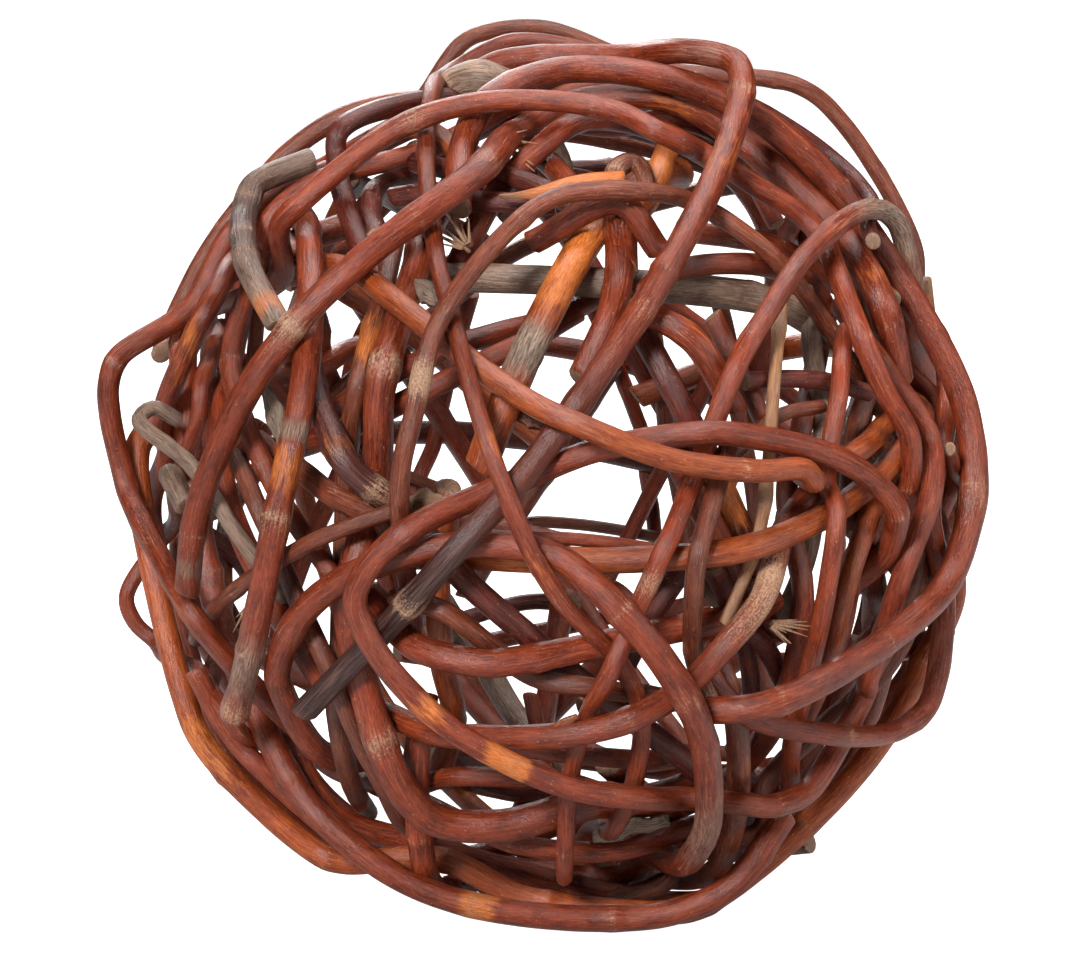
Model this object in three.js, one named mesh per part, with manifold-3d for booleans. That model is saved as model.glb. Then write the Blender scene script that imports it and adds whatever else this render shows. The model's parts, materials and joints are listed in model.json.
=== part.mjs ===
// A hollow decorative ball, 150 mm across, wound by hand from long willow rods.
// Millimetres, +Z up. The ball stands on its flat spot, with its middle above the origin.
// Its front looks along -Y.
//
// Each rod is one solid. A rod's route is given on the ball, and the rods are then settled
// against each other and against the floor, as they lie when the maker pulls them tight.
import * as THREE from 'three';
import { mergeVertices } from 'three/addons/utils/BufferGeometryUtils.js';
import Module from 'manifold-3d';

const wasm = await Module();
wasm.setup();

// Driving dimensions of the ball.
const outerReach = 71.3; // from the ball's middle to the middle of a rod in the outermost layer
const floorDepth = 71.6; // from the ball's middle down to the surface that it stands on
const flattening = 0.4; // how much is pressed flat where a rod bears on that surface
const rodGap = 0.3; // between two rods that lie on each other

// How a rod goes on round the ball past its waypoints, in degrees and mm.
const carryStep = 15; // from one point to the next
const commonDepth = 4.5; // it dips about this depth
const dip = 3; // by this much
const dipPace = 1.7; // radians of the dip in each step
const blendSteps = 3; // steps in which it comes to that from its own depth
const tuck = 6; // of its tip
const frontSway = 3.2; // most that it turns aside in each step, and a back rod
const backSway = 2.6;
const swayPace = 2.4; // radians of that from rod to rod
const headingStep = 4; // how far a back rod keeps its heading

// How a rod is divided.
const curveDivisions = 600; // for measuring along its curve
const wireStep = 5; // spacing of the points that are settled
const rodSides = 6;
const slimSides = 5; // of a rod that is slimmer than slimRadius
const slimRadius = 1.8;
const stationError = 1.0; // how far the straight stretches of a finished rod may leave its curve
const cutSlope = 0.5; // slant of a rod's cut ends

// How the rods are settled.
const settleStages = 9; // in each, what lies on what is looked at again
const settleRounds = 40; // in each stage
const finishRounds = 400;
const easing = 0.5; // of the push that two rods need, the part that they get in each round
const firmest = 0.1; // how easily a rod of the outermost layer gives way
const looser = 0.12; // and how much more easily for each mm that its route is deeper
const fairing = 0.6; // how far a push spreads along a rod in each round
const recall = 0.03; // how strongly a rod goes back to its route in each round
const sideBySide = 25; // rods that cross at less than this many degrees give way sideways
const closeBy = 9; // stretches further apart than this aren't compared
const ownBend = 16; // a rod isn't pushed away from its own next stretch, up to this length
const settleGap = 0.3; // a little more room while the rods are still smooth curves
const mostProud = 2; // how far a rod may be pushed out from its route
const hollowReach = 44; // no rod is pressed further in than this from the ball's middle
const finishedWithin = 0.1; // how much too close two finished rods may stay
const tiny = 1e-6;

// Bark of the rods, as it weathers.
const red = { color: 0x7a3322, roughness: 0.5 };
const dark = { color: 0x45222a, roughness: 0.5 };
const orange = { color: 0xa8551f, roughness: 0.55 };
const brown = { color: 0x7d4a35, roughness: 0.6 };
const grey = { color: 0x77675c, roughness: 0.8 };
const tan = { color: 0xb08a5f, roughness: 0.7 };

// The rods that are seen from the front. A waypoint is [turn, rise, depth]: turn is degrees
// round the ball from its front, to the right, rise is degrees above its middle, and depth is
// how far in, in mm, from the outermost layer. girth is the rod's diameter at its two ends.
// before and after are the degrees that the rod goes on round the ball past its waypoints.
const rods = [
  {
    name: 'long_diagonal', bark: red, girth: [4.1, 5.2], before: 0, after: 0,
    route: [[-56, -8, 0], [-55, -3, 0], [-50, 9, 0], [-44, 22, 0], [-35, 37, 0], [-29, 45, 0],
      [-18, 59, 0], [-22, 73, 4.5], [-24, 86, 4.5], [74, 76, 2], [80, 62, 3], [75, 54, 3.5],
      [70, 39, 4.5], [64, 31, 4.5], [68, 18, 9.5]],
  },
  {
    name: 'upper_arc', bark: red, girth: [3.6, 3.6], before: 120, after: 0,
    route: [[-72, 41, 5], [-62, 44, 1.5], [-57, 54, 1.5], [-37, 68, 1.5], [21, 69, 1.5], [34, 61, 1.5],
      [48, 61, 4.5], [52, 55, 4.5], [61, 45, 4.5], [59, 40, 4.5], [53, 32, 3], [53, 20, 2.5],
      [59, 11, 3], [67, -7, 9.5]],
  },
  {
    name: 'right_outline', bark: red, girth: [4.7, 4.5], before: 0, after: 0,
    route: [[-33, 54, 9.5], [-42, 68, 4.5], [-41, 74, 1], [-11, 83, -0.5], [41, 81, -1.5], [69, 70, -2],
      [75, 58, -1], [77, 41, 1], [76, 19, 0.5], [74, 5, 0.5], [68, -6, 2], [63, -9, 1.5], [39, -16, 0],
      [28, -19, 0], [20, -22, 5.5]],
  },
  {
    name: 'dark_diagonal', bark: red, girth: [4.3, 4.2], before: 130, after: 0,
    route: [[91, 84, -1], [81, 78, -2.6], [68, 72, -6.2], [68, 68, -8], [65, 65, -7.2], [56, 62, -5.5],
      [44, 57, -3.5], [32, 50, -0.5], [14, 34, 0], [-3, 14, 2.5], [-16, -2, 0.5], [-37, -22, 1]],
  },
  {
    name: 'front_wave', bark: orange, girth: [3.9, 3.7], before: 75, after: 0,
    route: [[-110, 39, 5.5], [-59, 43, 7.5], [-41, 41, 5.5], [-23, 33, 3.5], [-3, 21, 0.5], [13, 14, 0],
      [33, 11, 2.5], [51, 12, 7], [66, 14, 9.5]],
  },
  {
    name: 'big_loop', bark: red, girth: [3.6, 4], before: 0, after: 0,
    route: [[68, 34, 9.5], [62, 24, 4], [65, 20, 3.5], [67, 11, 3], [60, 1, 3], [57, -5, 3.5],
      [57, -20, 4.5], [58, -25, 5.5], [60, -26, 5.5], [57, -30, 4.5], [51, -38, 2], [42, -39, 0],
      [34, -38, 0], [26, -39, 2.5], [13, -34, 0], [5, -32, 0], [-13, -22, 0], [-25, -5, 0], [-20, 3, 0],
      [-11, 8, 2.5], [-7, 10, 4.5], [2, 14, 2.5], [12, 16, 3.5], [22, 16, 0.5], [35, 13, 0], [48, 7, 0],
      [51, 3, 0], [55, -5, 7], [54, -9, 10.5]],
  },
  {
    name: 'slim_centre', bark: red, girth: [3, 2.9], before: 120, after: 50,
    route: [[155, 76, -2.5], [-166, 77, -4.5], [-141, 74, -2.5], [-132, 71, 0], [-61, 71, 1.5],
      [-42, 63, 3], [-23, 44, 3], [-18, 37, 2.5], [-14, 29, 1], [-7, 12, 0], [0, -3, 1], [10, -15, 4],
      [14, -28, 4], [12, -44, 4], [12, -57, 5.5], [36, -82, 5]],
  },
  {
    name: 'slim_mauve', bark: brown, girth: [3.1, 2.9], before: 0, after: 100,
    route: [[-25, -15, 9.5], [-20, 11, 0.5], [-17, 26, 0], [-16, 31, 0], [-4, 47, 0], [8, 51, 0],
      [23, 51, 1.5], [33, 51, 4], [42, 43, 3.5], [58, 31, 7.5]],
  },
  {
    name: 'right_crook', bark: red, girth: [4.2, 2.8], before: 100, after: 0,
    route: [[88, 24, 3.5], [82, 31, 0], [80, 36, -2.5], [76, 40, -3.5], [67, 42, -3], [54, 41, -1],
      [43, 37, 0], [26, 23, 0.5], [21, 11, 4.5], [15, 2, 1.5], [11, -7, 3], [6, -17, 1.5], [5, -23, 3.5],
      [3, -29, 2.5], [2, -48, 1.5], [10, -80, 1.5]],
  },
  {
    name: 'top_bow', bark: brown, girth: [2.8, 3], before: 110, after: 90,
    route: [[-138, 63, -1], [-145, 67, -7.4], [-169, 71, -9.6], [148, 67, -4.3], [119, 52, -11.2],
      [109, 35, -4.9], [108, 31, -4.4], [106, 23, 1]],
  },
  {
    name: 'heavy_sweep', bark: red, girth: [4, 5.2], before: 0, after: 110,
    route: [[-72, -60, 8.5], [-50, -44, 6], [-47, -36, 3], [-42, -16, 2], [-24, 0, 3], [-2, 2, 2.5],
      [17, -17, 0.5], [26, -40, 0], [29, -50, 1], [38, -66, 2.5], [40, -76, 2], [18, -79, 2]],
  },
  {
    name: 'belly_arc', bark: red, girth: [4.5, 4.3], before: 0, after: 0,
    route: [[-31, -8, 11], [-17, -13, 4.5], [3, -14, 4], [28, -11, 7.5], [37, -10, 10.5]],
  },
  {
    name: 'belly_arc_slim', bark: brown, girth: [3.4, 3.2], before: 0, after: 0,
    route: [[-23, -7, 7.5], [-14, -8, 4], [-4, -18, 9], [7, -20, 6], [33, -28, 8.5]],
  },
  {
    name: 'purple_cross', bark: dark, girth: [4.2, 4], before: 0, after: 0,
    route: [[-46, 26, 8.5], [-39, 21, 5.5], [-29, 10, 4.5], [-4, -13, 5.5], [2, -20, 9], [24, -35, 7],
      [65, -55, 4.5], [66, -54, 0.5], [67, -51, -1.4]],
  },
  {
    name: 'thick_bow', bark: red, girth: [4.6, 5.8], before: 0, after: 0,
    route: [[-60, 74, 11], [-33, 54, 9.5], [-28, 30, 7], [-28, 23, 6.5], [-31, -6, 6], [-31, -14, 5.5],
      [-29, -21, 4], [-20, -42, 3.5], [10, -44, 5], [41, -48, 9]],
  },
  {
    name: 'bottom_left_outline', bark: orange, girth: [4.4, 4.2], before: 40, after: 45,
    route: [[-72, -21, 2.5], [-68, -31, -1.2], [-62, -43, -1.8], [-54, -52, -3.2], [-42, -59, 1.2],
      [-15, -66, -0.4], [15, -66, -1.6], [35, -62, -3.3], [50, -55, -0.5], [62, -45, 1.5], [70, -34, 3]],
  },
  {
    name: 'bottom_outline', bark: red, girth: [4.6, 4.4], before: 90, after: 0,
    route: [[-61, -29, 3.5], [-56, -37, 0.5], [-50, -41, 0], [-44, -47, -0.5], [-16, -58, -1.5],
      [-3, -60, -1.6], [23, -58, -4.5], [39, -52, -4], [50, -44, 2]],
  },
  {
    name: 'left_bow', bark: red, girth: [3.2, 3.9], before: 110, after: 0,
    route: [[-82, 26, 2], [-80, 17, -6.4], [-78, 2, -1.4], [-71, -3, 0.6], [-57, -12, 0], [-53, -28, 4],
      [-55, -36, 5.5]],
  },
  {
    name: 'club_rod', bark: red, girth: [4.4, 4.3], before: 110, after: 0,
    route: [[-106, 44, 5.5], [-56, 42, 3], [-39, 23, 1.5], [-38, 4, 0], [-42, -11, -0.5], [-51, -24, -1]],
  },
  {
    name: 'left_hook', bark: brown, girth: [2.7, 2.7], before: 0, after: 0,
    route: [[-75, -20, 4], [-61, -14, 1.5], [-52, -9, 1.5], [-32, 2, 3], [-21, 6, 5]],
  },
  {
    name: 'kinked_rod', bark: red, girth: [2.9, 2.8], before: 0, after: 0,
    route: [[-93, 25, 8], [-72, 20, 5.5], [-70, 12, 4], [-75, 4, 4.5], [-97, -8, 0.4], [-96, -12, -3.4],
      [-95, -16, -7], [-94, -22, -3], [-71, -24, 1.5], [-61, -26, 2], [-59, -29, 3], [-65, -37, 7.5]],
  },
  {
    name: 'top_left_outline', bark: brown, girth: [3.5, 3.5], before: 0, after: 110,
    route: [[-91, 19, 1], [-102, 23, -0.7], [-106, 35, -1.4], [-115, 53, -2.9], [-127, 63, -0.5],
      [-155, 71, 3.5], [178, 73, 2]],
  },
  {
    name: 'top_left_arc', bark: red, girth: [3.5, 3.4], before: 0, after: 0,
    route: [[-78, 42, 4.5], [-78, 46, 1.5], [-77, 58, 0.5], [-55, 81, 3]],
  },
  {
    name: 'grey_crook', bark: grey, girth: [4.2, 4.2], before: 0, after: 0,
    route: [[-81, 54, 2.5], [-80, 48, -0.6], [-79, 45, -0.2], [-58, 36, 0], [-46, 29, 2.5]],
  },
  {
    name: 'left_outline', bark: red, girth: [3.7, 3.7], before: 0, after: 110,
    route: [[-103, 39, 6.5], [-75, 34, 5], [-69, 27, 3], [-77, 14, 3], [-89, -2, 3], [-92, -9, 2],
      [-90, -16, 1], [-86, -34, -2], [-83, -47, -1.5]],
  },
  {
    name: 'left_inner', bark: red, girth: [3.4, 3.2], before: 0, after: 0,
    route: [[-79, 43, 0.5], [-79, 36, 3], [-57, 20, 4], [-40, 0, 8.5], [-35, -5, 9.5]],
  },
  {
    name: 'left_cut', bark: brown, girth: [3.2, 3.5], before: 0, after: 100,
    route: [[-52, 11, 5.5], [-45, 3, 5], [-41, -9, 7], [-34, -21, 5.5], [-33, -29, 5], [-34, -48, 4.5],
      [-51, -66, 4.5], [-38, -70, 2]],
  },
  {
    name: 'little_crook', bark: grey, girth: [2.6, 2.6], before: 0, after: 0,
    route: [[-70, 13, 6], [-71, 14, 1.5], [-72, 13, -1], [-56, 7, 3.5], [-50, 2, 4], [-42, -9, 8]],
  },
  {
    name: 'right_upright', bark: red, girth: [3.2, 3.1], before: 0, after: 90,
    route: [[56, 29, 5.5], [48, 23, 3.5], [44, 12, 3.5], [41, 6, 1.5], [39, -6, 2], [42, -26, 5.5],
      [44, -33, 4.5], [57, -45, 5.5]],
  },
  {
    name: 'inner_stick', bark: orange, girth: [5.8, 5.2], before: 0, after: 0,
    route: [[101, 68, 6], [42, 66, 9.5], [8, 48, 10.5], [-6, 24, 10], [-11, 12, 12]],
  },
  {
    name: 'knuckle', bark: red, girth: [4.1, 4.1], before: 0, after: 0,
    route: [[-5, 48, 11], [15, 52, 6.5], [22, 46, 10.5]],
  },
  {
    name: 'knuckle_leg', bark: red, girth: [4.7, 4.4], before: 0, after: 0,
    route: [[13, 51, 8.5], [9, 38, 9], [3, 28, 12.5]],
  },
  {
    name: 'grey_splinter', bark: grey, girth: [5, 4.6], before: 0, after: 0,
    route: [[-32, 46, 12], [-6, 47, 12], [32, 41.5, 9.5], [53, 35, 8.5], [63, 31, 10.5]],
  },
  {
    name: 'inner_hook', bark: red, girth: [3.5, 3.9], before: 0, after: 0,
    route: [[17, 40, 10.5], [23, 42, 7.5], [42, 42, 7], [77, 35, 12], [47, 17, 9.5], [42, 0, 10.5],
      [42, -26, 8.5], [63, -58, 9.5]],
  },
  {
    name: 'knot_spur', bark: red, girth: [4, 3.8], before: 0, after: 0,
    route: [[15, 35, 6.5], [23, 29, 6], [29, 20, 9.5]],
  },
  {
    name: 'purple_inner', bark: dark, girth: [4, 3.8], before: 0, after: 0,
    route: [[16, 33, 9], [18, 27, 8], [27, 8, 8.5], [35, -6, 10.5]],
  },
  {
    name: 'brown_upright', bark: brown, girth: [3.4, 3.5], before: 0, after: 0,
    route: [[-43, 52, 12], [-34, 39, 9.5], [-32, 22, 6], [-34, 17, 8], [-35, -5, 9.5], [-37, -23, 5],
      [-43, -40, 4], [-64, -56, 4.5]],
  },
  {
    name: 'paired_rods', bark: red, girth: [3.7, 3.4], before: 0, after: 0,
    route: [[10, 47, 13], [-1, 40, 10], [-22, 29, 5.5], [-51, 14, 13.5], [-27, 23, 7.5], [-8, 34, 9.5],
      [1, 41, 13]],
  },
  {
    name: 'orange_bar', bark: orange, girth: [4.4, 4.2], before: 110, after: 0,
    route: [[59, 9, 7], [51, 6, 4.5], [26, 1, 4], [20, 0, 5], [-8, -1, 7.5], [-30, -3, 12.5]],
  },
  {
    name: 'orange_upright', bark: orange, girth: [3.8, 3.6], before: 0, after: 0,
    route: [[61, 6, 9.5], [52, 3, 5.5], [45, -6, 4.5], [44, -19, 5.5], [50, -36, 9.5]],
  },
  {
    name: 'lower_right_bow', bark: red, girth: [3.4, 3.9], before: 0, after: 80,
    route: [[25, -13, 8.5], [23, -17, 5.5], [26, -23, 1], [40, -27, 0], [63, -30, -0.5], [68, -27, -1.8],
      [69, -23, -1], [73, -10, 4], [69, 1, 5.5], [73, 6, 5.5]],
  },
  {
    name: 'slim_upright', bark: brown, girth: [3.2, 3.1], before: 0, after: 0,
    route: [[25, 16, 9], [18, 0, 3], [22, -18, 4.5], [25, -23, 1.5]],
  },
  {
    name: 'peeled_bow', bark: red, girth: [4, 4], before: 0, after: 0,
    route: [[44, 8, 9.5], [30, -5, 2.5], [21, -14, 3], [18, -18, 4.5], [6, -22, 2.5], [-15, -27, 4.5],
      [-30, -28, 9.5]],
  },
  {
    name: 'bottom_inner', bark: red, girth: [3.6, 3.6], before: 110, after: 0,
    route: [[-89, -48, 7], [-67, -51, 7.5], [-17, -52, 3], [11, -55, 3], [45, -58, 5], [85, -62, 4],
      [88, -51, 3]],
  },
  {
    name: 'bottom_pair', bark: red, girth: [3.3, 3.3], before: 0, after: 0,
    route: [[-31, -39, 9], [-20, -34, 7], [9, -35, 6], [34, -45, 9], [63, -58, 8], [60, -61, 7.5],
      [10, -46, 9], [-2, -41, 8], [-19, -40, 8], [-34, -48, 10.5]],
  },
  {
    name: 'pale_twig', bark: tan, girth: [2.1, 2], before: 0, after: 0,
    route: [[43, 34, 7.5], [35, 23, 5.5], [33, 10, 7], [30, -1, 5], [25, -10, 4]],
  },
  {
    name: 'short_twig', bark: brown, girth: [2.4, 2.4], before: 0, after: 0,
    route: [[45, 19, 4], [38, 19, 4.5], [30, 14, 9]],
  },
  {
    name: 'right_rim', bark: red, girth: [4, 3.8], before: 90, after: 0,
    route: [[103, 21, 3], [100, 7, 4], [74, 4, 6], [72, -3, 5.5], [72, -10, 5], [94, -29, 2.6],
      [91, -43, 0.8], [89, -56, 0.5]],
  },
  {
    name: 'bottom_kink', bark: red, girth: [3.4, 3.4], before: 0, after: 0,
    route: [[84, -52, 5], [78, -63, -1.4], [78, -66, 3.5]],
  },
  {
    name: 'right_inner', bark: red, girth: [4.4, 4.2], before: 0, after: 0,
    route: [[111, 27, 1], [109, 20, 4], [82, 19, 9.5], [58, 7, 9], [70, -12, 8.5], [94, -24, 7],
      [101, -32, 4], [100, -40, 3], [101, -58, 1.5]],
  },
  {
    name: 'left_slant', bark: red, girth: [3.8, 3.8], before: 0, after: 0,
    route: [[-106, 22, 5.5], [-76, 19, 7.5], [-65, 13, 6.5], [-58, 5, 6.5], [-48, -8, 7.5],
      [-41, -24, 8.5]],
  },
  {
    name: 'top_upright', bark: dark, girth: [3.6, 3.6], before: 90, after: 0,
    route: [[-72, 60, 0], [-69, 56, 5], [-54, 50, 6.5], [-34, 36, 10]],
  },
];

// The back and the underside are wound more plainly: single rods laid across them. middle is
// the [turn, rise] that the rod passes over, heading is its slope there and span is how far it
// goes either way. The ball stands on the ground rods.
const backRods = [
  {
    name: 'back_rod_1', bark: red, girth: [4.2, 4.0],
    middle: [172, 10], heading: 12, span: 100, depth: 0,
  },
  {
    name: 'back_rod_2', bark: red, girth: [4.4, 4.1],
    middle: [150, -20], heading: 62, span: 100, depth: 2,
  },
  {
    name: 'back_rod_3', bark: brown, girth: [3.5, 3.3],
    middle: [200, 22], heading: -38, span: 100, depth: 4,
  },
  {
    name: 'back_rod_4', bark: orange, girth: [3.8, 3.6],
    middle: [222, -6], heading: 80, span: 100, depth: 3,
  },
  {
    name: 'back_rod_5', bark: red, girth: [4.3, 4.0],
    middle: [138, 24], heading: -70, span: 100, depth: 5,
  },
  {
    name: 'ground_rod_1', bark: red, girth: [4.2, 4.0],
    middle: [8, -73], heading: 0, span: 60, depth: -2.4,
  },
  {
    name: 'ground_rod_2', bark: brown, girth: [4.0, 3.8],
    middle: [108, -79], heading: 0, span: 75, depth: -4,
  },
  {
    name: 'ground_rod_3', bark: red, girth: [4.3, 4.1],
    middle: [245, -80], heading: 0, span: 60, depth: -1,
  },
];

const radians = THREE.MathUtils.degToRad;

function onBall(turn, rise, depth) {
  const reach = outerReach - depth;
  const level = reach * Math.cos(radians(rise));
  return new THREE.Vector3(
    level * Math.sin(radians(turn)),
    -level * Math.cos(radians(turn)),
    reach * Math.sin(radians(rise)),
  );
}

// Takes a rod on round the ball from the last of its points, by some degrees. It sways a
// little to one side, dips under and over its neighbours, and its tip is tucked in.
function carryOn(points, degrees, sway) {
  const count = Math.round(degrees / carryStep);
  const last = points[points.length - 1];
  const axisNow = new THREE.Vector3().crossVectors(points[points.length - 2], last).normalize();
  const direction = last.clone().normalize();
  const startDepth = outerReach - last.length();
  for (let i = 1; i <= count; i += 1) {
    axisNow.applyAxisAngle(direction, radians(sway));
    direction.applyAxisAngle(axisNow, radians(carryStep));
    const wave = commonDepth - dip * Math.cos(i * dipPace + sway);
    const ownShare = Math.max(0, 1 - i / blendSteps);
    const depth = startDepth * ownShare + wave * (1 - ownShare) + (i === count ? tuck : 0);
    points.push(direction.clone().multiplyScalar(outerReach - depth));
  }
}

// Points about wireStep apart along a smooth curve, with the rod's radius at each.
function wire(points, girth) {
  const curve = new THREE.CatmullRomCurve3(points, false, 'centripetal');
  curve.arcLengthDivisions = curveDivisions;
  const count = Math.max(4, Math.round(curve.getLength() / wireStep));
  return curve.getSpacedPoints(count).map((home, i) => {
    const radius = THREE.MathUtils.lerp(girth[0], girth[1], i / count) / 2;
    const give = firmest + looser * Math.max(0, outerReach - home.length());
    return { home, place: home.clone(), radius, give };
  });
}

function frontWire(rod, index) {
  const sway = frontSway * Math.sin(swayPace * (index + 1));
  const points = rod.route.map((waypoint) => onBall(...waypoint));
  carryOn(points, rod.after, sway);
  points.reverse();
  carryOn(points, rod.before, sway);
  points.reverse();
  return wire(points, rod.girth);
}

function backWire(rod, index) {
  const sway = backSway * Math.cos(swayPace * (index + 1));
  const [turn, rise] = rod.middle;
  const heading = radians(rod.heading);
  const nextTurn = turn + (headingStep * Math.cos(heading)) / Math.cos(radians(rise));
  const nextRise = rise + headingStep * Math.sin(heading);
  const points = [onBall(turn, rise, rod.depth), onBall(nextTurn, nextRise, rod.depth)];
  carryOn(points, rod.span, sway);
  points.reverse();
  carryOn(points, rod.span, -sway);
  return wire(points, rod.girth);
}

// The nearest points of two straight stretches, a to b and c to d, as shares along each.
function nearest(a, b, c, d) {
  const first = new THREE.Vector3().subVectors(b, a);
  const second = new THREE.Vector3().subVectors(d, c);
  const between = new THREE.Vector3().subVectors(a, c);
  const ff = first.dot(first);
  const ss = second.dot(second);
  const fs = first.dot(second);
  const fb = first.dot(between);
  const sb = second.dot(between);
  const slant = ff * ss - fs * fs;
  let s = slant > tiny ? THREE.MathUtils.clamp((fs * sb - fb * ss) / slant, 0, 1) : 0.5;
  let t = (fs * s + sb) / ss;
  if (t < 0 || t > 1) {
    t = THREE.MathUtils.clamp(t, 0, 1);
    s = THREE.MathUtils.clamp((fs * t - fb) / ff, 0, 1);
  }
  return [s, t];
}

// Calls visit for each two stretches nearer than margin, but not for a rod's own next one.
function eachNearPair(wires, margin, visit) {
  const stretches = wires.flatMap((points, rod) => {
    let run = 0;
    return points.slice(1).map((b, i) => {
      const a = points[i];
      const start = run;
      run += a.place.distanceTo(b.place);
      const middle = new THREE.Vector3().addVectors(a.place, b.place).multiplyScalar(0.5);
      return { rod, i, a, b, start, end: run, middle };
    });
  });
  stretches.forEach((p, m) => {
    for (let n = m + 1; n < stretches.length; n += 1) {
      const q = stretches[n];
      const reach = (p.end - p.start + q.end - q.start) / 2 + margin;
      const sameBend = p.rod === q.rod && q.start - p.end < ownBend;
      if (!sameBend && p.middle.distanceToSquared(q.middle) < reach * reach) {
        visit(p, q);
      }
    }
  });
}

function mix({ a, b }, share, key) {
  return THREE.MathUtils.lerp(a[key], b[key], share);
}

function pointOn({ a, b }, share) {
  return new THREE.Vector3().lerpVectors(a.place, b.place, share);
}

// Moves the point at a share along a stretch, by moving both of its ends.
function nudge({ a, b }, share, push, amount) {
  const near = 1 - share;
  const scale = amount / (near * near + share * share);
  a.place.addScaledVector(push, near * scale);
  b.place.addScaledVector(push, share * scale);
}

function crossingAngle(p, q) {
  const along = new THREE.Vector3().subVectors(p.b.place, p.a.place);
  const across = new THREE.Vector3().subVectors(q.b.place, q.a.place);
  const angle = THREE.MathUtils.radToDeg(along.angleTo(across));
  return Math.min(angle, 180 - angle);
}

// Where rods lie on each other. Each crossing is a group of neighbouring pairs of stretches,
// and its sign says which rod is on the outside there.
function findCrossings(wires) {
  const crossings = [];
  const known = new Map();
  eachNearPair(wires, closeBy, (p, q) => {
    if (crossingAngle(p, q) < sideBySide) {
      return;
    }
    const names = [[0, 0], [-1, -1], [-1, 0], [-1, 1], [0, -1]].map(
      ([i, j]) => `${p.rod} ${q.rod} ${p.i + i} ${q.i + j}`,
    );
    const crossing = names.map((name) => known.get(name)).find(Boolean) ?? { pairs: [], lift: 0 };
    if (crossing.pairs.length === 0) {
      crossings.push(crossing);
    }
    known.set(names[0], crossing);
    const [s, t] = nearest(p.a.place, p.b.place, q.a.place, q.b.place);
    const onP = pointOn(p, s);
    const onQ = pointOn(q, t);
    const weight = 1 / (1 + onP.distanceToSquared(onQ));
    crossing.lift += (onP.length() - onQ.length()) * weight;
    crossing.pairs.push([p, q]);
  });
  return crossings;
}

// The part of a push between two stretches that the first one takes.
function shareOf(p, s, q, t) {
  const first = mix(p, s, 'give');
  return first / (first + mix(q, t, 'give'));
}

// Parts two stretches that cross, one outwards and one inwards.
function lift(p, q, sign) {
  const [s, t] = nearest(p.a.place, p.b.place, q.a.place, q.b.place);
  const onP = pointOn(p, s);
  const onQ = pointOn(q, t);
  const outward = new THREE.Vector3().addVectors(onP, onQ).normalize().multiplyScalar(sign);
  const apart = onP.sub(onQ);
  const lifted = apart.dot(outward);
  const sideways = Math.sqrt(Math.max(0, apart.lengthSq() - lifted * lifted));
  const touching = mix(p, s, 'radius') + mix(q, t, 'radius') + rodGap + settleGap;
  const short = Math.sqrt(Math.max(0, touching * touching - sideways * sideways)) - lifted;
  if (sideways < touching && short > 0) {
    const share = shareOf(p, s, q, t);
    nudge(p, s, outward, easing * short * share);
    nudge(q, t, outward, -easing * short * (1 - share));
  }
}

// Parts two stretches the nearest way, and returns how much too close they were.
function spread(p, q, gap) {
  const [s, t] = nearest(p.a.place, p.b.place, q.a.place, q.b.place);
  const push = pointOn(p, s).sub(pointOn(q, t));
  const distance = Math.max(push.length(), tiny);
  const short = mix(p, s, 'radius') + mix(q, t, 'radius') + gap - distance;
  if (short > 0) {
    const share = shareOf(p, s, q, t);
    push.divideScalar(distance);
    nudge(p, s, push, easing * short * share);
    nudge(q, t, push, -easing * short * (1 - share));
  }
  return short;
}

// Keeps every rod in the ball's shell, and on the surface below it, where it is pressed flat.
function holdInShell(wires) {
  for (const { place, home, radius } of wires.flat()) {
    place.clampLength(hollowReach, Math.max(home.length() + mostProud, hollowReach));
    place.z = Math.max(place.z, radius - floorDepth - flattening);
  }
}

// Spreads each push along its rod, and draws the rod back towards its route.
function fair(points, pull) {
  const moved = points.map((point) => new THREE.Vector3().subVectors(point.place, point.home));
  points.forEach((point, i) => {
    const even = new THREE.Vector3()
      .addVectors(moved[Math.max(i - 1, 0)], moved[Math.min(i + 1, points.length - 1)])
      .multiplyScalar(0.5);
    point.place.copy(moved[i]).lerp(even, fairing).multiplyScalar(1 - pull).add(point.home);
  });
}

function settle(wires) {
  for (let stage = 0; stage < settleStages; stage += 1) {
    const crossings = findCrossings(wires);
    const alongside = [];
    eachNearPair(wires, closeBy, (p, q) => {
      if (crossingAngle(p, q) < sideBySide) {
        alongside.push([p, q]);
      }
    });
    for (let round = 0; round < settleRounds; round += 1) {
      wires.forEach((points) => fair(points, stage < settleStages - 1 ? recall : 0));
      alongside.forEach(([p, q]) => spread(p, q, rodGap + settleGap));
      crossings.forEach(({ pairs, lift: sign }) => {
        pairs.forEach(([p, q]) => lift(p, q, sign < 0 ? -1 : 1));
      });
      holdInShell(wires);
    }
  }
}

// Keeps only the points that the bends need, so that no point is further than stationError
// from the straight stretches between those that are kept.
function stations(points) {
  const last = points.length - 1;
  const chord = new THREE.Line3(points[0].place, points[last].place);
  const foot = new THREE.Vector3();
  let furthest = 0;
  let error = stationError;
  for (let i = 1; i < last; i += 1) {
    chord.closestPointToPoint(points[i].place, true, foot);
    const distance = foot.distanceTo(points[i].place);
    if (distance > error) {
      error = distance;
      furthest = i;
    }
  }
  if (furthest === 0) {
    return [points[0], points[last]];
  }
  const before = stations(points.slice(0, furthest + 1)).slice(0, -1);
  return [...before, ...stations(points.slice(furthest))];
}

// The last, fine settling, of the rods as they are made.
function finish(wires) {
  const pairs = [];
  eachNearPair(wires, closeBy, (p, q) => pairs.push([p, q]));
  for (let round = 0; round < finishRounds; round += 1) {
    const worst = Math.max(...pairs.map(([p, q]) => spread(p, q, rodGap)));
    holdInShell(wires);
    if (worst < finishedWithin) {
      break;
    }
  }
}

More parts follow.
